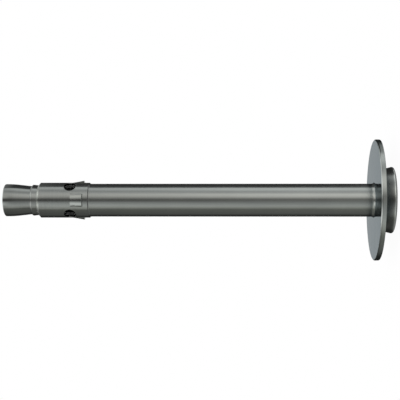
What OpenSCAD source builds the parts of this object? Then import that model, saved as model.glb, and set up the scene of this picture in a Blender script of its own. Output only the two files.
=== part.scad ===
// Nail anchor for a drilled hole: a cone bolt with a nail head, a rolled expansion clip
// and a large captive washer. It stands on its head, and its axis is +Z from head to tip.

/* [Bolt] */
// Overall length, from the head's outer face to the tip
bolt_l = 70.2; // [60:0.1:110]
// Diameter of the plain shank
shank_d = 5.94; // [5.84:0.02:6.04]
// Diameter of the two seats that the clip turns on
seat_d = 5.42; // [5.34:0.02:5.5]
// Length of the rear seat
seat_l = 1.4; // [1:0.1:1.5]
// Diameter of the waist under the clip's windows
waist_d = 4.4; // [4:0.1:4.7]

/* [Tip] */
// Diameter of the land at the tip
tip_d = 5.84; // [5.74:0.02:5.94]
// Length of the land at the tip
tip_l = 1.6; // [1:0.1:2.2]
// Radius of the tip's edge
tip_edge_r = 0.18; // [0.1:0.02:0.3]
// Length of the front cone
cone_l = 3.4; // [3:0.1:3.8]
// Slope of both cones against the axis, in degrees
cone_angle = 6.3; // [5.8:0.1:6.6]
// Length of the rear cone that shows in front of the clip
collar_l = 0.85; // [0.6:0.05:1.1]

/* [Head] */
// Largest diameter of the head
head_d = 11.96; // [10:0.02:14]
// Thickness of the head
head_h = 2.55; // [1.6:0.05:3]
// How much the head's side leans in towards the washer
head_lean = 0.53; // [0.2:0.01:0.8]
// Radius of the head's outer edge
head_edge_r = 0.34; // [0.2:0.02:0.6]
// Height of the bead that keeps the washer at the head
bead_h = 0.19; // [0.12:0.01:0.2]
// Length of the bead along the shank
bead_l = 0.62; // [0.4:0.02:0.7]

/* [Washer] */
// Outer diameter of the washer
washer_d = 21.8; // [16:0.1:30]
// Thickness of the washer
washer_t = 0.9; // [0.8:0.1:1.5]
// Gap between the washer's hole and the shank
washer_gap = 0.1; // [0.05:0.01:0.12]
// Play of the washer between the head and the bead
washer_play = 0.05; // [0.04:0.01:0.3]
// Radius of the punched edges on the washer's outer face
washer_roll_r = 0.24; // [0.2:0.01:0.3]
// Radius of the washer's edges on the side of the head
washer_edge_r = 0.08; // [0.04:0.01:0.15]

/* [Clip] */
// Length of the clip
clip_l = 9.5; // [9:0.1:11]
// Thickness of the clip's sheet
clip_t = 0.42; // [0.36:0.02:0.5]
// Gap between the clip's bore and its seats
clip_gap = 0.035; // [0.02:0.005:0.08]
// Angle from barb to barb; what is left of the turn is the open seam
clip_pitch = 110; // [104:1:114]
// Length of the bevel at the clip's front end
clip_bevel_l = 0.33; // [0.2:0.01:0.5]
// Width of the edge that the front bevel leaves
clip_edge_w = 0.06; // [0.04:0.01:0.12]
// Length of the chamfer at the clip's rear end
clip_chamfer_l = 0.2; // [0.1:0.02:0.5]
// Depth of the chamfer at the clip's rear end
clip_chamfer_w = 0.1; // [0.06:0.01:0.24]
// Diameter of the round windows between the barbs
window_d = 2.2; // [1.6:0.1:2.3]
// Height of the windows' centres above the clip's rear end
window_z = 3.4; // [3.2:0.1:4.5]
// Width of each barb
barb_w = 2.1; // [1.6:0.1:2.2]
// Length of each barb, from its bend to its free end
barb_l = 2.12; // [1.6:0.02:2.3]
// Height of the barbs' bends above the clip's rear end
barb_z = 3.3; // [3.2:0.1:4]
// Angle by which the barbs are bent out
barb_angle = 10; // [4:0.2:12]
// Width of the slit around each barb
slit_w = 0.09; // [0.08:0.01:0.2]

/* [Hidden] */
$fn = 96;

shank_r = shank_d / 2;
seat_r = seat_d / 2;
waist_r = waist_d / 2;
tip_r = tip_d / 2;
head_r = head_d / 2;
head_top_r = head_r - head_lean;
washer_r = washer_d / 2;
hole_r = shank_r + washer_gap;
bore_r = seat_r + clip_gap;
clip_r = bore_r + clip_t;

// Radii along the two cones
cone_slope = tan(cone_angle);
groove_r = tip_r - cone_l * cone_slope;
collar_r = seat_r + collar_l * cone_slope;
shoulder_r = collar_r - groove_r;

// Heights up the bolt
bead_z = head_h + washer_t + washer_play;
tip_z = bolt_l - tip_l;
groove_z = tip_z - cone_l;
collar_z = groove_z - shoulder_r;
clip_top_z = collar_z - collar_l;
clip_z = clip_top_z - clip_l;
waist_top_z = clip_top_z - (seat_r - waist_r) / cone_slope;
waist_z = clip_z + seat_l + (seat_r - waist_r);

// Angles around the clip
clip_mid_r = bore_r + clip_t / 2;
turn_per_mm = 180 / (PI * clip_mid_r);
barb_turn = barb_w * turn_per_mm;
slit_turn = slit_w * turn_per_mm;
clip_turn = 3 * clip_pitch;
front = -90;
barb_turns = [for (i = [-1:1]) front + i * clip_pitch];
window_turns = [for (i = [-0.5, 0.5]) front + i * clip_pitch];

// Barb outline, in radius and height above the clip's rear end
barb_rise = barb_l * sin(barb_angle);
barb_run = barb_l * cos(barb_angle);
barb_tip = [clip_r + barb_rise, barb_z - barb_run];
barb_heel = barb_tip - clip_t * [cos(barb_angle), sin(barb_angle)];
barb_bend = [bore_r, barb_z - clip_t * tan(barb_angle / 2)];
barb_root = 0.5;
root_inset = clip_t / 4;

// Points of an arc about centre c from angle a to angle b
function arc(c, r, a, b, steps = 6) =
    [for (i = [0:steps]) c + r * [cos(a + (b - a) * i / steps), sin(a + (b - a) * i / steps)]];

// Points of the bead, which stands up from the shank at height z and flares out into it
function bead(z) =
    let (r = (bead_l * bead_l + bead_h * bead_h) / (2 * bead_h))
    let (turn = asin(bead_l / r))
    concat([[shank_r, z]], arc([shank_r + r, z + bead_l], r, 180 + turn, 180, 8));

// A sector of a turned shape, centred on the angle mid
module sector(mid, turn) {
    rotate([0, 0, mid - turn / 2])
        rotate_extrude(angle = turn)
            children();
}

// Cone bolt: nail head, captive bead, shank, waist, and two cones behind a land
module anchor_bolt() {
    side_angle = atan2(head_lean, head_h - head_edge_r);
    head_rim = arc([head_r - head_edge_r, head_edge_r], head_edge_r, -90, side_angle);
    shoulder = arc([groove_r, collar_z], shoulder_r, 0, 90);
    tip_rim = arc([tip_r - tip_edge_r, bolt_l - tip_edge_r], tip_edge_r, 0, 90);
    color([0.62, 0.62, 0.6])
        rotate_extrude()
            polygon(concat(
                [[0, 0]],
                head_rim,
                [[head_top_r, head_h], [shank_r, head_h]],
                bead(bead_z),
                [[shank_r, clip_z], [seat_r, clip_z], [seat_r, clip_z + seat_l]],
                [[waist_r, waist_z], [waist_r, waist_top_z]],
                shoulder,
                [[tip_r, tip_z]],
                tip_rim,
                [[0, bolt_l]]
            ));
}

// Section of the clip's sheet, from its chamfered rear to its bevelled front
module clip_section() {
    polygon([
        [bore_r, 0],
        [clip_r - clip_chamfer_w, 0],
        [clip_r, clip_chamfer_l],
        [clip_r, clip_l - clip_bevel_l],
        [bore_r + clip_edge_w, clip_l],
        [bore_r, clip_l]
    ]);
}

// Opening that a barb is cut free from
module barb_opening() {
    low = barb_heel[1] - slit_w;
    translate([bore_r - 1, low])
        square([clip_t + 2, barb_z - low]);
}

// Section of a barb, with a root that reaches into the sheet above its bend
module barb_section() {
    polygon([
        [bore_r + root_inset, barb_z + barb_root],
        [clip_r - root_inset, barb_z + barb_root],
        [clip_r - root_inset, barb_z],
        [clip_r, barb_z],
        barb_tip,
        barb_heel,
        barb_bend,
        [bore_r, barb_z],
        [bore_r + root_inset, barb_z]
    ]);
}

// Expansion clip: a rolled sheet with an open seam, round windows and bent-out barbs
module expansion_clip() {
    color([0.66, 0.66, 0.65])
        translate([0, 0, clip_z]) {
            difference() {
                sector(front, clip_turn)
                    clip_section();
                for (mid = barb_turns)
                    sector(mid, barb_turn + 2 * slit_turn)
                        barb_opening();
                for (mid = window_turns)
                    rotate([0, 0, mid])
                        translate([0, 0, window_z])
                            rotate([0, 90, 0])
                                cylinder(h = 2 * clip_r, d = window_d);
            }
            for (mid = barb_turns)
                sector(mid, barb_turn)
                    barb_section();
        }
}

// Washer: a punched disc, rolled over at the edges that face the wall
module washer() {
    top = head_h + washer_t;
    roll = washer_roll_r;
    edge = washer_edge_r;
    color([0.6, 0.61, 0.62])
        rotate_extrude()
            polygon(concat(
                arc([hole_r + edge, head_h + edge], edge, 180, 270, 3),
                arc([washer_r - edge, head_h + edge], edge, -90, 0, 3),
                arc([washer_r - roll, top - roll], roll, 0, 90),
                arc([hole_r + roll, top - roll], roll, 90, 180)
            ));
}

anchor_bolt();
expansion_clip();
washer();
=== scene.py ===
"""Nail anchor: the looks of the cone bolt, the rolled expansion clip and the captive washer.

The anchor stands on its head, with its axis along +Z from head to tip. The clip's middle barb
faces -Y, where the camera stands.
"""

import math

import bmesh
import bpy
from mathutils import Matrix, Vector


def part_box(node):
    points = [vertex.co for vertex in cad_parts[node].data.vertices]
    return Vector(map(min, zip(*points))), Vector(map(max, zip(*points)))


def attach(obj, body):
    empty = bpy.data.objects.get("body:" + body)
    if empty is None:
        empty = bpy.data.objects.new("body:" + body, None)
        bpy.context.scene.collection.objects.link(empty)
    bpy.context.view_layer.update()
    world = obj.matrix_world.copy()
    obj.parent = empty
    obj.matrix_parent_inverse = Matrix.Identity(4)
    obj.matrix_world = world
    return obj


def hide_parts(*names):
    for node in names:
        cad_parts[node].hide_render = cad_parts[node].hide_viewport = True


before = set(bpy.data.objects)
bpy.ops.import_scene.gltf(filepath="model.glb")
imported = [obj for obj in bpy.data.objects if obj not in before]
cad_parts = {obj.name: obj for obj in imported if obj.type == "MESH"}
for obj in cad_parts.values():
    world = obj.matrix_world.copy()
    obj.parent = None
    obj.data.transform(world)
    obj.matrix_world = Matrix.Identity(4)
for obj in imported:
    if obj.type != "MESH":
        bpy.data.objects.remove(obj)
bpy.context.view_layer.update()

MM = 0.001
SIDES = 160

# Distances in metres at which two places count as the same: for merging points, and for finding them
WELD = 1e-7
TOUCH = 1e-6

# Places that the solids give, in millimetres
bolt_low, bolt_high = [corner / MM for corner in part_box("anchor_bolt")]
clip_low, clip_high = [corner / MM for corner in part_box("expansion_clip")]
washer_low, washer_high = [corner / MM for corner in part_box("washer")]

# Bolt, in millimetres. Its tip is worn a little shorter than the solid.
TIP_WEAR = 0.1
BOLT_L = bolt_high.z - TIP_WEAR
HEAD_R = min(bolt_high.x, bolt_high.y, -bolt_low.x, -bolt_low.y)
HEAD_H = washer_low.z
HEAD_LEAN = 0.53
HEAD_TOP_R = HEAD_R - HEAD_LEAN
HEAD_EDGE_R = 0.34
SHANK_R = 2.97
SEAT_R = 2.71
SEAT_L = 1.4
WAIST_R = 2.2
COLLAR_L = 0.85
TIP_R = 2.92
TIP_L = 1.5
TIP_EDGE_R = 0.18
TIP_BLEND_R = 18
TIP_Z = BOLT_L - TIP_L
CONE_L = 3.4
CONE_SLOPE = math.tan(math.radians(6.3))
GROOVE_R = TIP_R - CONE_L * CONE_SLOPE
GROOVE_Z = TIP_Z - CONE_L
# Top of the waist's painted shade under the clip, in millimetres
DARK_WAIST_TOP = 60.5

# Bead that keeps the washer at the head, in millimetres: a low step that flares out into the shank
WASHER_PLAY = 0.05
BEAD_R = 3.1
BEAD_Z = washer_high.z + WASHER_PLAY
BEAD_L = 0.62
BEAD_FLARE_L = 0.45 * BEAD_L
BEAD_FLARE_R = 0.95

# Washer, in millimetres
WASHER_R = min(washer_high.x, washer_high.y, -washer_low.x, -washer_low.y)
WASHER_GAP = 0.1
HOLE_R = SHANK_R + WASHER_GAP
ROLL_R = 0.24
EDGE_R = 0.08
RIM_LEAN = 0.035

# Clip, in millimetres. Its front edge is worn back a little from the solid's.
CLIP_Z = clip_low.z
CLIP_WEAR = 0.09
CLIP_L = clip_high.z - clip_low.z - CLIP_WEAR
CLIP_GAP = 0.035
SHEET_T = 0.42
BORE_R = SEAT_R + CLIP_GAP
MID_R = BORE_R + SHEET_T / 2
SHEET_R = BORE_R + SHEET_T
PITCH = math.radians(110)
TURN = 3 * PITCH
BEVEL_L = 0.38
CHAMFER_LOW = 0.07
CHAMFER_HIGH = 0.2
CHAMFER_W = 0.13
WINDOW_R = 1.1
WINDOW_Z = 3.5
WINDOW_TURN = math.radians(53.6)
WINDOW_BLOCK = 1.2
WINDOW_CELLS = 24
BARB_W = 2.1
BARB_L = 2.12
BARB_Z = 3.3
BARB_ANGLE = math.radians(10)
BARB_CURL = math.radians(2.4)
BARB_END = BARB_Z - BARB_L * math.cos(BARB_ANGLE)
SLIT_W = 0.03
SLOT_LOW = BARB_END - SHEET_T * math.sin(BARB_ANGLE) - SLIT_W
EDGE_ROUND = 0.02

# The flat strip is laid out along its bore side, which is shorter than the middle of its sheet
STRIP_SHARE = BORE_R / MID_R
STRIP_BARB = BARB_W / 2 * STRIP_SHARE
STRIP_SLIT = STRIP_BARB + SLIT_W * STRIP_SHARE
STRIP_BLOCK = WINDOW_BLOCK * STRIP_SHARE
STRIP_WINDOW = WINDOW_TURN * BORE_R
STRIP_STEP = PITCH * BORE_R
STRIP_L = TURN * BORE_R


# Helpers for modelling

def select_nothing():
    """Leaves nothing selected, so that the next operator acts only on what it makes."""
    bpy.ops.object.select_all(action="DESELECT")


def pick(piece, mode, wanted):
    """Selects, in edit mode, the vertices, edges or faces that wanted says yes to."""
    bpy.ops.mesh.select_all(action="DESELECT")
    bpy.ops.mesh.select_mode(type=mode)
    mesh = bmesh.from_edit_mesh(piece.data)
    parts = {"VERT": mesh.verts, "EDGE": mesh.edges, "FACE": mesh.faces}[mode]
    for part in parts:
        if wanted(part):
            part.select_set(True)
    mesh.select_flush_mode()
    bmesh.update_edit_mesh(piece.data)


def start_point(name, place):
    """Starts a new mesh as one selected point, in edit mode, at a place in metres."""
    select_nothing()
    bpy.ops.mesh.primitive_plane_add(size=MM)
    piece = bpy.context.object
    piece.name = name
    bpy.ops.object.mode_set(mode="EDIT")
    bpy.ops.mesh.select_mode(type="VERT")
    bpy.ops.mesh.select_all(action="SELECT")
    bpy.ops.mesh.merge(type="CENTER")
    bpy.ops.transform.translate(value=place)
    return piece


def draw_on(points):
    """Extrudes the selected point from place to place, which draws a line through points."""
    for last, point in zip(points, points[1:]):
        step = Vector(point) - Vector(last)
        bpy.ops.mesh.extrude_vertices_move(TRANSFORM_OT_translate={"value": step})


def rounded(corners, hold=0.06, steps=6):
    """Points of a section in radius and height, from corners of radius, height and rounding.

    Long straight runs get a point close to each end, which keeps their shading flat.
    """
    flats = []
    for i, (r, z, rounding) in enumerate(corners):
        here = Vector((r, z))
        if rounding == 0 or i in (0, len(corners) - 1):
            flats.append([here])
            continue
        back = (Vector(corners[i - 1][:2]) - here).normalized()
        on = (Vector(corners[i + 1][:2]) - here).normalized()
        half = back.angle(on) / 2
        run = rounding / math.tan(half)
        centre = here + (back + on).normalized() * (rounding / math.sin(half))
        first = (here + back * run - centre).normalized()
        last = (here + on * run - centre).normalized()
        arc = []
        for k in range(steps + 1):
            arc.append(centre + first.slerp(last, k / steps) * rounding)
        flats.append(arc)
    points = []
    for i, run in enumerate(flats):
        points += run
        if i + 1 == len(flats):
            break
        gap = flats[i + 1][0] - run[-1]
        if gap.length > 4 * hold:
            points.append(run[-1] + gap.normalized() * hold)
            points.append(flats[i + 1][0] - gap.normalized() * hold)
    return points


def finish_mesh(piece, angle=35):
    """Merges doubles, turns the faces outwards and shades the piece smooth up to a fold's angle."""
    bpy.ops.mesh.select_all(action="SELECT")
    bpy.ops.mesh.remove_doubles(threshold=WELD)
    bpy.ops.mesh.normals_make_consistent(inside=False)
    bpy.ops.object.mode_set(mode="OBJECT")
    bpy.ops.object.shade_smooth_by_angle(angle=math.radians(angle))


def turned(name, section, closed=False):
    """Turns a section, given in radius and height, once round the anchor's axis."""
    line = [(r * MM, 0, z * MM) for r, z in section]
    piece = start_point(name, line[0])
    draw_on(line)
    bpy.ops.mesh.select_all(action="SELECT")
    if closed:
        ends = (Vector(line[0]), Vector(line[-1]))
        pick(piece, "VERT", lambda v: min((v.co - end).length for end in ends) < WELD)
        bpy.ops.mesh.edge_face_add()
        bpy.ops.mesh.select_all(action="SELECT")
    bpy.ops.mesh.spin(steps=SIDES, angle=math.tau, center=(0, 0, 0), axis=(0, 0, 1))
    finish_mesh(piece)
    return piece


def apply(piece, kind, **settings):
    """Adds a modifier with its settings and applies it."""
    modifier = piece.modifiers.new(kind.lower(), kind)
    for key, value in settings.items():
        setattr(modifier, key, value)
    bpy.ops.object.modifier_apply(modifier=modifier.name)


# Bolt and washer

def make_bolt():
    """Cone bolt: nail head, bead, shank, waist under the clip, two cones and the tip's land."""
    collar_r = SEAT_R + COLLAR_L * CONE_SLOPE
    shoulder_r = collar_r - GROOVE_R
    collar_z = GROOVE_Z - shoulder_r
    waist_top_z = collar_z - COLLAR_L - (SEAT_R - WAIST_R) / CONE_SLOPE
    waist_z = CLIP_Z + SEAT_L + SEAT_R - WAIST_R
    # The head's side starts a hair too wide, because its rounding takes that much off
    lean = (HEAD_R - HEAD_TOP_R) / (HEAD_H - HEAD_EDGE_R)
    head_foot_r = HEAD_TOP_R + HEAD_H * lean + 0.005
    section = rounded([
        (0, 0, 0),
        (head_foot_r, 0, HEAD_EDGE_R),
        (HEAD_TOP_R, HEAD_H, 0.06),
        (SHANK_R, HEAD_H, 0.05),
        (SHANK_R, BEAD_Z, 0.02),
        (BEAD_R, BEAD_Z, 0.025),
        (SHANK_R, BEAD_Z + BEAD_FLARE_L, BEAD_FLARE_R),
        (SHANK_R, CLIP_Z, 0.02),
        (SEAT_R, CLIP_Z, 0.03),
        (SEAT_R, CLIP_Z + SEAT_L, 0),
        (WAIST_R, waist_z, 0.2),
        (WAIST_R, waist_top_z, 0.5),
        (collar_r + shoulder_r * CONE_SLOPE, GROOVE_Z, shoulder_r),
        (GROOVE_R, GROOVE_Z, 0.1),
        (TIP_R, TIP_Z, TIP_BLEND_R),
        (TIP_R, BOLT_L, TIP_EDGE_R),
        (0, BOLT_L, 0),
    ])
    return turned("cone_bolt", section)


def make_washer():
    """Washer: a punched disc with edges that roll over on the wall side."""
    low = washer_low.z
    high = washer_high.z
    middle = (low + high) / 2
    section = rounded([
        (HOLE_R, middle, 0),
        (HOLE_R, low, EDGE_R),
        (WASHER_R - RIM_LEAN, low, EDGE_R),
        (WASHER_R, high, ROLL_R),
        (HOLE_R, high, ROLL_R),
        (HOLE_R, middle + 0.02, 0),
    ])
    return turned("plate_washer", section, closed=True)


# Clip

def even(start, end, count):
    """Places that cut a run into count equal parts, both ends left out."""
    return [start + (end - start) * i / count for i in range(1, count)]


def clip_cuts():
    """Lines across and along the flat strip, in millimetres, that its cuts and bends are laid out on.

    The lines that no cut or bend needs keep the cells short enough to roll up round.
    """
    across = []
    for centre in (-STRIP_STEP, 0, STRIP_STEP):
        across += [centre - STRIP_SLIT, centre - STRIP_BARB, centre + STRIP_BARB, centre + STRIP_SLIT]
        across += even(centre - STRIP_BARB, centre + STRIP_BARB, 12)
    for side in (-1, 1):
        centre = side * STRIP_WINDOW
        across += [centre - STRIP_BLOCK, centre + STRIP_BLOCK]
        across += even(centre - STRIP_BLOCK, centre + STRIP_BLOCK, WINDOW_CELLS)
        across += [side * (STRIP_SLIT + 0.15), side * (STRIP_STEP - STRIP_SLIT - 0.15)]
        across += even(side * (STRIP_STEP + STRIP_SLIT), side * STRIP_L / 2, 8)
        across.append(side * (STRIP_L / 2 - 0.06))
    low = WINDOW_Z - WINDOW_BLOCK
    high = WINDOW_Z + WINDOW_BLOCK
    along = [0.04, CHAMFER_LOW, CHAMFER_HIGH, CHAMFER_HIGH + 0.06, 0.8, SLOT_LOW - 0.08, SLOT_LOW]
    along += [BARB_Z - BARB_L, BARB_Z - BARB_L + 0.08, 2.0, low, high]
    along += even(low, high, WINDOW_CELLS)
    along += [5.4, 6.2, 7.2, 8.2, CLIP_L - BEVEL_L - 0.3, CLIP_L - BEVEL_L - 0.06]
    return sorted(across), sorted(along)


def off_barb_middle(place):
    """Distance of a place on the strip from the middle of the nearest barb, in metres."""
    return min(abs(place.x - centre * MM) for centre in (-STRIP_STEP, 0, STRIP_STEP))


def punch_windows(strip):
    """Punches the two round windows: a block of the grid comes out and a ring goes in."""
    for side in (-1, 1):
        centre = Vector((side * STRIP_WINDOW * MM, 0, WINDOW_Z * MM))

        def inside(place, spare=0.0):
            away = place - centre
            return abs(away.x) < STRIP_BLOCK * MM + spare and abs(away.z) < WINDOW_BLOCK * MM + spare

        def to_bridge(edge):
            if edge.is_wire:
                return True
            return edge.is_boundary and all(inside(vert.co, TOUCH) for vert in edge.verts)

        pick(strip, "FACE", lambda face: inside(face.calc_center_median()))
        bpy.ops.mesh.delete(type="FACE")
        bpy.ops.mesh.select_all(action="DESELECT")
        bpy.ops.mesh.primitive_circle_add(
            vertices=4 * WINDOW_CELLS,
            radius=WINDOW_R * MM,
            location=centre,
            rotation=(math.pi / 2, 0, 0),
        )
        bpy.ops.transform.resize(value=(STRIP_SHARE, 1, 1), center_override=centre)
        pick(strip, "EDGE", to_bridge)
        bpy.ops.mesh.bridge_edge_loops()


def lance_barbs(strip):
    """Cuts each barb free on three sides, leaving it joined at its bend."""
    def cut_away(face):
        place = face.calc_center_median()
        away = off_barb_middle(place)
        if not SLOT_LOW * MM < place.z < BARB_Z * MM:
            return False
        beside = STRIP_BARB * MM < away < STRIP_SLIT * MM
        below = away < STRIP_BARB * MM and place.z < (BARB_Z - BARB_L) * MM
        return beside or below

    pick(strip, "FACE", cut_away)
    bpy.ops.mesh.delete(type="FACE")


def bend_barbs(strip):
    """Bends the barbs out of the sheet about their bend lines; their outer side edges stay behind."""
    bend = (0, -SHEET_T * MM, BARB_Z * MM)
    low = (BARB_Z - BARB_L) * MM - TOUCH
    high = BARB_Z * MM - TOUCH
    outer = -SHEET_T * MM + TOUCH
    # Far more than a rounding error, and far less than a slit
    spare = 10 * TOUCH

    def on_barb(vert):
        return off_barb_middle(vert.co) < STRIP_BARB * MM + spare and low < vert.co.z < high

    def on_side_edge(vert):
        return on_barb(vert) and off_barb_middle(vert.co) > STRIP_BARB * MM - spare and vert.co.y < outer

    pick(strip, "VERT", on_side_edge)
    bpy.ops.transform.rotate(value=-BARB_CURL, orient_axis="X", center_override=bend)
    pick(strip, "VERT", on_barb)
    bpy.ops.transform.rotate(value=BARB_ANGLE, orient_axis="X", center_override=bend)


def make_clip():
    """Expansion clip: a flat strip is punched, lanced and bevelled, and then rolled up."""
    select_nothing()
    bpy.ops.mesh.primitive_plane_add(size=1, rotation=(math.pi / 2, 0, 0))
    strip = bpy.context.object
    strip.name = "rolled_clip"
    bpy.ops.object.transform_apply(location=False, rotation=True, scale=False)
    bpy.ops.object.mode_set(mode="EDIT")
    bpy.ops.transform.resize(value=(STRIP_L * MM, 1, CLIP_L * MM))
    bpy.ops.transform.translate(value=(0, 0, CLIP_L / 2 * MM))
    across, along = clip_cuts()
    for x in across:
        bpy.ops.mesh.select_all(action="SELECT")
        bpy.ops.mesh.bisect(plane_co=(x * MM, 0, 0), plane_no=(1, 0, 0), threshold=WELD)
    for z in along:
        bpy.ops.mesh.select_all(action="SELECT")
        bpy.ops.mesh.bisect(plane_co=(0, 0, z * MM), plane_no=(0, 0, 1), threshold=WELD)
    punch_windows(strip)
    lance_barbs(strip)
    finish_mesh(strip)
    apply(strip, "SOLIDIFY", thickness=SHEET_T * MM, offset=-1)
    bpy.ops.object.mode_set(mode="EDIT")
    bend_barbs(strip)
    outer = -SHEET_T * MM + TOUCH
    pick(strip, "VERT", lambda vert: vert.co.y < outer and vert.co.z > CLIP_L * MM - TOUCH)
    bpy.ops.transform.translate(value=(0, 0, -BEVEL_L * MM))
    pick(strip, "VERT", lambda vert: vert.co.y < outer and vert.co.z < CHAMFER_LOW * MM + TOUCH)
    bpy.ops.transform.translate(value=(0, CHAMFER_W * MM, 0))
    bpy.ops.object.mode_set(mode="OBJECT")
    apply(strip, "BEVEL", width=EDGE_ROUND * MM, segments=2, angle_limit=math.radians(20))
    apply(strip, "SIMPLE_DEFORM", deform_method="BEND", deform_axis="Z", angle=TURN)
    bpy.ops.object.mode_set(mode="EDIT")
    bpy.ops.mesh.select_all(action="SELECT")
    bpy.ops.transform.translate(value=(0, -BORE_R * MM, CLIP_Z * MM))
    finish_mesh(strip, 14)
    return strip


# Helpers for materials

def colour(code):
    """Linear colour of an sRGB hex code."""
    parts = [int(code[i:i + 2], 16) / 255 for i in (1, 3, 5)]
    linear = [p / 12.92 if p <= 0.04045 else ((p + 0.055) / 1.055) ** 2.4 for p in parts]
    return (*linear, 1.0)


def add(tree, kind, inputs, **settings):
    """Adds a node with its settings, and sets or links its inputs."""
    node = tree.nodes.new("ShaderNode" + kind)
    for key, value in settings.items():
        setattr(node, key, value)
    for socket, value in inputs.items():
        if isinstance(value, bpy.types.NodeSocket):
            tree.links.new(value, node.inputs[socket])
        else:
            node.inputs[socket].default_value = value
    return node


def start_material(name):
    """New material with an empty tree, and the sockets of place and height on the piece."""
    material = bpy.data.materials.new(name)
    material.use_nodes = True
    tree = material.node_tree
    tree.nodes.clear()
    place = add(tree, "TexCoord", {}).outputs["Object"]
    height = add(tree, "SeparateXYZ", {"Vector": place}).outputs["Z"]
    return material, tree, place, height


def mapped(tree, value, source, target=(0.0, 1.0)):
    """A value moved from its source range to a target range, and held at that range's ends."""
    node = add(tree, "MapRange", {"Value": value})
    node.inputs["From Min"].default_value, node.inputs["From Max"].default_value = source
    node.inputs["To Min"].default_value, node.inputs["To Max"].default_value = target
    return node.outputs["Result"]


def mixed(tree, factor, first, second):
    """A value between two values."""
    return add(tree, "Mix", {"Factor": factor, "A": first, "B": second}).outputs["Result"]


def mixed_colour(tree, factor, first, second, blend="MIX"):
    """A colour between two colours, or their product with the blend MULTIPLY."""
    inputs = {"Factor": factor, "A": first, "B": second}
    return add(tree, "Mix", inputs, data_type="RGBA", blend_type=blend).outputs[2]


def ramp_along(tree, value, shades):
    """Shades that change along a value, given as pairs of value and grey or linear colour."""
    low = shades[0][0]
    high = shades[-1][0]
    ramp = add(tree, "ValToRGB", {"Fac": mapped(tree, value, (low, high))})
    stops = ramp.color_ramp.elements
    while len(stops) < len(shades):
        stops.new(0.5)
    for stop, (at, shade) in zip(stops, shades):
        stop.position = (at - low) / (high - low)
        stop.color = (*shade, 1) if isinstance(shade, tuple) else (shade, shade, shade, 1)
    return ramp.outputs["Color"]


def in_metres(shades, start=0.0):
    """Pairs of place and shade, with places in millimetres beyond start turned to metres."""
    return [((start + at) * MM, shade) for at, shade in shades]


def grain(tree, place, size, detail=3.0):
    """Noise with a grain of a size in millimetres along x, y and z."""
    scale = [1 / (part * MM) for part in size]
    spot = add(tree, "Mapping", {"Vector": place, "Scale": scale}).outputs["Vector"]
    return add(tree, "TexNoise", {"Vector": spot, "Scale": 1.0, "Detail": detail}).outputs["Fac"]


def radius_of(tree, place):
    """Distance from the anchor's axis."""
    flat = add(tree, "VectorMath", {0: place, 1: (1, 1, 0)}, operation="MULTIPLY").outputs[0]
    return add(tree, "VectorMath", {0: flat}, operation="LENGTH").outputs["Value"]


def steel_surface(tree, tones, mottle, tone_and_painted_light, rough, relief, depth, edge_tint, metal=1.0):
    """Steel: two tones by mottle, times a ramp of tone and painted light, with a roughness and a fine
    relief in millimetres.

    The edge tint is what it mirrors of the light at a slant. Where metal is 0, a film hides the steel.
    """
    paint = mixed_colour(tree, mottle, colour(tones[0]), colour(tones[1]))
    paint_and_painted_light = mixed_colour(tree, 1.0, paint, tone_and_painted_light, "MULTIPLY")
    lines = add(tree, "Bump", {"Height": relief, "Strength": 1.0, "Distance": depth * MM})
    surface = add(tree, "BsdfPrincipled", {
        "Base Color": paint_and_painted_light,
        "Metallic": metal,
        "Roughness": rough,
        "Specular Tint": (*edge_tint, 1),
        "Normal": lines.outputs["Normal"],
    })
    add(tree, "OutputMaterial", {"Surface": surface.outputs["BSDF"]})


# Materials

STEEL_TONES = ("#cbcecb", "#d9dcd8")
STEEL_EDGE_TINT = (0.8, 0.8, 0.8)
PLATE_TONES = ("#dce1e0", "#f0f5f4")
PLATE_EDGE_TINT = (0.385, 0.415, 0.428)
LINE_DEPTH = 0.0005
BRUSH_DEPTH = 0.002

# Most of a mottle's values lie in this range
MOTTLE = (0.3, 0.7)


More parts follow.
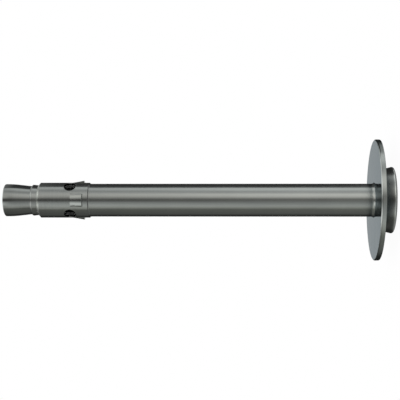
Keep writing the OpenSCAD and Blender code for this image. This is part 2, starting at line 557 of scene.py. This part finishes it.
def zinc_plated_drawn_steel():
    """Cold-drawn wire, turned at the tip and forged at the head, under a thin bright zinc plating.

    The eye gets long fine drawing lines on the shank, sharp rings of the turning tool on the cones,
    a duller head with a painted highlight on its edge, painted highlights on the bead, the cones'
    shoulder and the tip's edge, and a waist under the clip that is painted dark as shade.
    """
    material, tree, place, height = start_material("zinc_plated_drawn_steel")
    # Drawing lines are a few hundredths of a millimetre wide, and are drawn coarser to show
    drawn = grain(tree, place, (0.18, 0.18, 12))
    rings = grain(tree, place, (8, 8, 0.14))
    blotches = grain(tree, place, (2.5, 2.5, 5))
    turned_end = ramp_along(tree, height, in_metres([
        (0, 0), (GROOVE_Z - 0.6, 0), (GROOVE_Z - 0.5, 1), (BOLT_L, 1),
    ]))
    lines = mixed(tree, turned_end, drawn, rings)
    mottle = mixed(tree, 0.5, lines, blotches)
    tone_and_painted_light = ramp_along(tree, height, in_metres([
        # Head: a painted highlight on its rounded edge, and a side that gets lighter towards the washer
        (0, 0.7), (0.1, 0.7), (0.17, 1.5), (0.45, 1.5), (0.57, 0.44), (1.2, 0.5), (1.8, 0.66),
        (HEAD_H, 0.85), (HEAD_H + 0.1, 0.84),
        # Bead, with a painted highlight, and shank
        (BEAD_Z, 1.25), (BEAD_Z + 0.2, 1.15), (BEAD_Z + 0.35, 1), (BEAD_Z + BEAD_L, 1),
        (BEAD_Z + BEAD_L + 0.1, 0.84), (CLIP_Z, 0.84), (CLIP_Z + SEAT_L, 0.84),
        # Waist under the clip, painted dark as shade in the recess
        (CLIP_Z + SEAT_L + 0.6, 0.05), (DARK_WAIST_TOP, 0.05), (DARK_WAIST_TOP + 0.5, 0.76),
        # Cones, with painted highlights on the shoulder between them and on the tip's edge
        (GROOVE_Z - 0.22, 0.76), (GROOVE_Z - 0.14, 0.9), (GROOVE_Z - 0.02, 0.9), (GROOVE_Z + 0.06, 0.75),
        (BOLT_L - 0.2, 0.75), (BOLT_L - 0.1, 1), (BOLT_L, 0.9),
    ]))
    smooth = ramp_along(tree, height, in_metres([
        (0, 0.12), (0.4, 0.12), (0.55, 0.24), (HEAD_H, 0.24), (HEAD_H + 0.2, 0.2), (CLIP_Z, 0.18),
        (CLIP_Z + SEAT_L, 0.7), (DARK_WAIST_TOP + 0.5, 0.7), (GROOVE_Z - COLLAR_L, 0.14), (GROOVE_Z, 0.12),
        (BOLT_L, 0.1),
    ]))
    uneven = mapped(tree, mottle, MOTTLE, (-0.02, 0.03))
    rough = add(tree, "Math", {0: smooth, 1: uneven}, operation="ADD").outputs["Value"]
    tone = mapped(tree, mottle, MOTTLE)
    steel_surface(tree, STEEL_TONES, tone, tone_and_painted_light, rough, lines, LINE_DEPTH, STEEL_EDGE_TINT)
    return material


def rolled_strip_steel():
    """Cold-rolled spring strip, rolled round into the clip and tumbled bright.

    The eye gets faint rolling lines round the clip, a painted highlight on the bevel at its front and on
    the cut ends of its barbs, painted shade on the step at its rear and on the walls of its windows and
    slits, and a dull film of oil in its bore.
    """
    material, tree, place, height = start_material("rolled_strip_steel")
    radius = radius_of(tree, place)
    # Rolling lines are finer than this, and are drawn coarser to show
    rolled = grain(tree, place, (5, 5, 0.12))
    blotches = grain(tree, place, (2, 2, 3))
    mottle = mixed(tree, 0.5, rolled, blotches)
    # Rear end: a painted highlight on the land below the chamfer and painted shade on the chamfer, at
    # the step; the sheet gets lighter just behind the front bevel
    ends = ramp_along(tree, height, in_metres([
        (0, 1.15), (CHAMFER_LOW, 1.15), (CHAMFER_LOW + 0.02, 0.36), (CHAMFER_HIGH - 0.01, 0.36),
        (CHAMFER_HIGH + 0.01, 0.84), (CLIP_L - BEVEL_L - 0.1, 0.84), (CLIP_L - BEVEL_L, 1), (CLIP_L, 1),
    ], CLIP_Z))
    # Painted shade on the walls of the windows, slits and ends, between the bore and the outer side; in
    # the bore itself the grey of its film
    bore = ramp_along(tree, radius, in_metres([
        (0, 0.7), (BORE_R + 0.02, 0.7), (BORE_R + 0.04, 0.02), (SHEET_R - 0.1, 0.04),
        (SHEET_R - 0.03, 1), (SHEET_R + 0.5, 1),
    ]))
    metal = ramp_along(tree, radius, in_metres([
        (0, 0), (BORE_R + 0.02, 0), (BORE_R + 0.04, 1), (SHEET_R + 0.5, 1),
    ]))
    above_step = ramp_along(tree, height, in_metres([
        (0, 0), (CHAMFER_HIGH, 0), (CHAMFER_HIGH + 0.1, 1), (CLIP_L, 1),
    ], CLIP_Z))
    bent_out = ramp_along(tree, radius, in_metres([
        (0, 0), (SHEET_R + 0.02, 0), (SHEET_R + 0.05, 1), (SHEET_R + 0.5, 1),
    ]))
    barb_end = ramp_along(tree, height, in_metres([
        (0, 0), (SLOT_LOW, 0), (SLOT_LOW + 0.01, 1), (BARB_END, 1), (BARB_END + 0.02, 0), (CLIP_L, 0),
    ], CLIP_Z))
    bevel = ramp_along(tree, height, in_metres([
        (0, 0), (CLIP_L - BEVEL_L - 0.06, 0), (CLIP_L - BEVEL_L, 1), (CLIP_L, 1),
    ], CLIP_Z))
    # Painted highlight on the barbs' cut ends, where they stand out of the sheet
    sheared = add(tree, "Math", {0: bent_out, 1: barb_end}, operation="MULTIPLY").outputs["Value"]
    tone_and_painted_light = mixed_colour(tree, above_step, ends, bore, "MULTIPLY")
    tone_and_painted_light = mixed_colour(tree, sheared, tone_and_painted_light, (1.5, 1.5, 1.5, 1))
    # Painted highlight on the front bevel
    tone_and_painted_light = mixed_colour(tree, bevel, tone_and_painted_light, (1.35, 1.35, 1.32, 1))
    rough = mixed(tree, bevel, mapped(tree, mottle, MOTTLE, (0.13, 0.18)), 0.08)
    tone = mapped(tree, mottle, MOTTLE)
    steel_surface(tree, STEEL_TONES, tone, tone_and_painted_light, rough, rolled, LINE_DEPTH, STEEL_EDGE_TINT, metal)
    return material


def brushed_plate_steel():
    """Plate steel, brushed flat and then punched out to the washer.

    The eye gets a bluish grey face with fine straight brush lines, a painted highlight on its rolled
    edge, and a brighter sheared rim.
    """
    material, tree, place, _ = start_material("brushed_plate_steel")
    # Brush lines are far finer than a millimetre, and are drawn coarser to show on the slanting face
    brushed = grain(tree, place, (14, 1.8, 1.8))
    blotches = grain(tree, place, (3, 3, 3))
    mottle = mixed(tree, 0.3, brushed, blotches)
    face = (0.31, 0.355, 0.372)
    # The rolled edge is painted brighter than the face, as a painted highlight
    roll = (1.0, 1.0, 0.97)
    rim = (0.66, 0.66, 0.64)
    tone_and_painted_light = ramp_along(tree, radius_of(tree, place), in_metres([
        (0, face), (WASHER_R - ROLL_R - 0.02, face), (WASHER_R - ROLL_R + 0.04, roll),
        (WASHER_R - 0.06, roll), (WASHER_R - 0.04, rim), (WASHER_R + 0.1, rim),
    ]))
    rough = mapped(tree, mottle, MOTTLE, (0.11, 0.2))
    tone = mapped(tree, mottle, (0.35, 0.65))
    steel_surface(tree, PLATE_TONES, tone, tone_and_painted_light, rough, brushed, BRUSH_DEPTH, PLATE_EDGE_TINT)
    return material


# Stage: sizes and places in metres, greys in linear light

LENS_MM = 86.9
CAMERA_SHIFT = (-0.065, 0.1391)
CAMERA_PLACE = Vector((0.00005, -0.175, 0.02611))
CAMERA_TARGET = Vector((-0.01005, 0, 0.03008))

FLOOR_SIZE = 4
FLOOR_WHITE = 0.96
WALL_R = 0.3
WALL_LOW = -0.1
WALL_HIGH = 0.3
GAP_LOW = -0.015
GAP_TURN = 20

# Greys of the tent's wall by angle round the axis, in degrees: 0 faces the camera and 90 is the
# picture's top. Each list holds at one height, and the wall blends from list to list.
WALL_FOOT = [
    (-180, 0.06), (-135, 0.05), (-120, 0.12), (-80, 0.2), (-68, 0.28), (-57, 0.48), (-44, 0.58),
    (-32, 0.5), (-20, 0.42), (-10, 0.36), (0, 0.27), (8, 0.24), (16, 0.45), (28, 0.72), (42, 0.74),
    (54, 0.6), (64, 0.42), (72, 0.46), (84, 0.62), (95, 0.74), (127, 0.74), (137, 0.14), (150, 0.06),
    (180, 0.05),
]
WALL_LOWER = [
    (-180, 0.04), (-130, 0.04), (-118, 0.09), (-106, 0.14), (-64, 0.16), (-57, 0.3), (-44, 0.45),
    (-34, 0.42), (-20, 0.3), (-10, 0.24), (0, 0.17), (9, 0.2), (18, 0.52), (30, 0.78), (42, 0.82),
    (52, 0.52), (60, 0.44), (72, 0.62), (82, 0.8), (95, 0.7), (100, 0.1), (120, 0.05), (180, 0.05),
]
WALL_UPPER = [
    (-180, 0.04), (-130, 0.04), (-116, 0.1), (-100, 0.1), (-64, 0.14), (-55, 0.36), (-40, 0.5),
    (-26, 0.4), (-14, 0.28), (-6, 0.11), (0, 0.07), (8, 0.1), (16, 0.27), (28, 0.46), (42, 0.54),
    (54, 0.44), (62, 0.31), (70, 0.36), (84, 0.56), (95, 0.5), (99, 0.08), (120, 0.05), (180, 0.05),
]
WALL_TOP = [
    (-180, 0.04), (-120, 0.05), (-80, 0.12), (-56, 0.24), (-42, 0.28), (-32, 0.72), (-22, 0.88),
    (-12, 0.4), (-6, 0.08), (0, 0.03), (6, 0.08), (12, 0.36), (21, 0.72), (28, 0.68), (38, 0.5),
    (56, 0.48), (80, 0.36), (100, 0.3), (120, 0.5), (165, 0.5), (175, 0.1), (180, 0.04),
]
WALL_CROWN = [
    (-180, 0.04), (-120, 0.1), (-80, 0.3), (-66, 0.42), (-50, 0.68), (-30, 0.62), (-12, 0.3), (0, 0.12),
    (12, 0.3), (30, 0.62), (50, 0.72), (66, 0.64), (90, 0.6), (120, 0.5), (165, 0.5), (180, 0.1),
]
WALL_GREYS = [
    (-0.08, WALL_FOOT), (-0.03, WALL_LOWER), (0.0, WALL_LOWER), (0.12, WALL_UPPER), (0.2, WALL_TOP),
    (0.235, WALL_TOP), (0.265, WALL_CROWN),
]

# Tints of the wall by angle: the picture's top is cooler, and its foot a little olive
WALL_TINTS = [
    (-180, (0.97, 1, 0.95)), (-95, (0.97, 1, 0.95)), (-70, (0.96, 1, 0.91)), (-50, (0.98, 1, 0.95)),
    (-36, (0.965, 1, 0.985)), (-10, (0.965, 1, 0.99)), (0, (1, 1, 0.955)), (25, (1, 0.99, 0.955)),
    (45, (1, 1, 0.975)), (60, (0.975, 1, 1)), (95, (0.965, 1, 1)), (180, (0.97, 1, 1)),
]

# Greys of the tent's roof by place across the axis: + is the picture's top. Each list holds at one
# depth, and the roof blends from the front list to the back one.
ROOF_FRONT = [
    (-0.3, 0.4), (-0.22, 0.6), (-0.166, 0.6), (-0.083, 0.36), (-0.04, 0.22), (0, 0.16),
    (0.04, 0.22), (0.083, 0.38), (0.166, 0.66), (0.25, 0.9), (0.3, 0.9),
]
ROOF_MIDDLE = [
    (-0.3, 0.15), (-0.22, 0.36), (-0.17, 0.7), (-0.118, 1.0), (-0.06, 0.5), (0, 0.12),
    (0.06, 0.5), (0.118, 1.0), (0.17, 1.0), (0.22, 0.7), (0.28, 0.5), (0.3, 0.4),
]
ROOF_BACK = [
    (-0.3, 0.15), (-0.12, 0.14), (-0.09, 0.36), (-0.06, 0.85), (-0.022, 0.95), (-0.008, 0.15), (0, 0.04),
    (0.008, 0.15), (0.022, 1.0), (0.05, 1.0), (0.09, 0.55), (0.12, 0.25), (0.17, 0.6), (0.3, 0.8),
]
ROOF_GREYS = [(-0.21, ROOF_FRONT), (-0.19, ROOF_MIDDLE), (0.02, ROOF_MIDDLE), (0.05, ROOF_BACK)]

# Greys of the tent's ground, in the same way
GROUND_GREYS = [(0.0, [(-0.3, 0.24), (0.0, 0.18), (0.3, 0.26)])]


def make_camera():
    """Camera square to the shank, a little nearer to the head, with the tip at the left."""
    data = bpy.data.cameras.new("camera")
    data.lens = LENS_MM
    data.sensor_width = 36
    data.clip_start = 0.005
    data.shift_x, data.shift_y = CAMERA_SHIFT
    camera = bpy.data.objects.new("camera", data)
    bpy.context.scene.collection.objects.link(camera)
    back = (CAMERA_PLACE - CAMERA_TARGET).normalized()
    right = Vector((1, 0, 0)).cross(back).normalized()
    up = back.cross(right)
    turn = Matrix((right, up, back)).transposed().to_4x4()
    camera.matrix_world = Matrix.Translation(CAMERA_PLACE) @ turn
    bpy.context.scene.camera = camera


def make_world():
    """White all round at strength 1, so that a colour renders about as it is written."""
    world = bpy.data.worlds.new("white_tent")
    bpy.context.scene.world = world
    world.use_nodes = True
    tree = world.node_tree
    tree.nodes.clear()
    light = add(tree, "Background", {"Color": (1, 1, 1, 1), "Strength": 1.0})
    add(tree, "OutputWorld", {"Surface": light.outputs["Background"]})


def make_floor():
    """White floor that keeps the anchor's soft shadow."""
    select_nothing()
    bpy.ops.mesh.primitive_plane_add(size=FLOOR_SIZE)
    floor = bpy.context.object
    floor.name = "floor"
    material = bpy.data.materials.new("white_paper")
    material.use_nodes = True
    tree = material.node_tree
    tree.nodes.clear()
    paper = add(tree, "BsdfDiffuse", {"Color": (1, 1, 1, 1)}).outputs["BSDF"]
    white = add(tree, "Emission", {"Color": (1, 1, 1, 1), "Strength": 1.0}).outputs["Emission"]
    faint = add(tree, "MixShader", {0: FLOOR_WHITE, 1: paper, 2: white})
    add(tree, "OutputMaterial", {"Surface": faint.outputs["Shader"]})
    floor.data.materials.append(material)
    floor.visible_glossy = False


def blended(tree, across, along, lists):
    """Greys that run across, and blend from list to list along another value."""
    last, greys = lists[0]
    band = ramp_along(tree, across, greys)
    for level, greys in lists[1:]:
        share = mapped(tree, along, (last, level))
        band = mixed_colour(tree, share, band, ramp_along(tree, across, greys))
        last = level
    return band


def glow(tree, greys):
    """Lets a part of the tent shine with its greys."""
    light = add(tree, "Emission", {"Color": greys, "Strength": 1.0})
    add(tree, "OutputMaterial", {"Surface": light.outputs["Emission"]})


def wall_greys():
    """Wall of the tent: tinted greys that run round the axis and change with height."""
    material, tree, place, height = start_material("tent_wall_greys")
    quarter = (0, 0, math.radians(90))
    facing = add(tree, "Mapping", {"Vector": place, "Rotation": quarter}).outputs["Vector"]
    around = add(tree, "TexGradient", {"Vector": facing}, gradient_type="RADIAL").outputs["Fac"]
    turns = mapped(tree, around, (0, 1), (-180, 180))
    greys = blended(tree, turns, height, WALL_GREYS)
    tints = ramp_along(tree, turns, WALL_TINTS)
    glow(tree, mixed_colour(tree, 1.0, greys, tints, "MULTIPLY"))
    return material


def lid_greys(name, lists):
    """Lid of the tent: greys that run across the axis and change with depth."""
    material, tree, place, _ = start_material(name)
    sides = add(tree, "SeparateXYZ", {"Vector": place})
    glow(tree, blended(tree, sides.outputs["X"], sides.outputs["Y"], lists))
    return material


def only_for_metal(thing):
    """Leaves a part of the tent to be seen only in the metal's reflections."""
    thing.visible_camera = False
    thing.visible_diffuse = False
    thing.visible_transmission = False
    thing.visible_volume_scatter = False
    thing.visible_shadow = False


def make_wall(name, start, turn, high, material):
    """Part of the tent's wall, from an angle round the axis over a turn, in degrees, up to a height."""
    start = math.radians(start)
    corner = (WALL_R * math.sin(start), -WALL_R * math.cos(start), WALL_LOW)
    wall = start_point(name, corner)
    draw_on([corner, (corner[0], corner[1], high)])
    bpy.ops.mesh.select_all(action="SELECT")
    # The spin operator turns against the sign of its angle
    bpy.ops.mesh.spin(steps=turn // 2, angle=-math.radians(turn), center=(0, 0, 0), axis=(0, 0, 1))
    bpy.ops.object.mode_set(mode="OBJECT")
    wall.data.materials.append(material)
    only_for_metal(wall)


def make_lid(name, height, material):
    """Disc that closes the tent at a height."""
    select_nothing()
    bpy.ops.mesh.primitive_circle_add(vertices=64, radius=WALL_R, fill_type="NGON")
    lid = bpy.context.object
    lid.name = name
    bpy.ops.object.mode_set(mode="EDIT")
    bpy.ops.transform.translate(value=(0, 0, height))
    bpy.ops.object.mode_set(mode="OBJECT")
    lid.data.materials.append(material)
    only_for_metal(lid)


def make_stage():
    """Light tent: white all round, with greys that give the metal its bands.

    Behind the anchor the wall is open above the floor, so that the washer's face sees white.
    """
    make_world()
    make_floor()
    greys = wall_greys()
    make_wall("tent_wall", GAP_TURN // 2 - 180, 360 - GAP_TURN, WALL_HIGH, greys)
    make_wall("tent_back", 180 - GAP_TURN // 2, GAP_TURN, GAP_LOW, greys)
    make_lid("tent_roof", WALL_HIGH, lid_greys("tent_roof_greys", ROOF_GREYS))
    make_lid("tent_ground", WALL_LOW, lid_greys("tent_ground_greys", GROUND_GREYS))


scene = bpy.context.scene
scene.view_settings.view_transform = "Standard"
make_camera()
make_stage()

bolt = make_bolt()
bolt.data.materials.append(zinc_plated_drawn_steel())
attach(bolt, "bolt")
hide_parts("anchor_bolt")

clip = make_clip()
clip.data.materials.append(rolled_strip_steel())
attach(clip, "clip")
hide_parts("expansion_clip")

washer = make_washer()
washer.data.materials.append(brushed_plate_steel())
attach(washer, "washer")
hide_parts("washer")
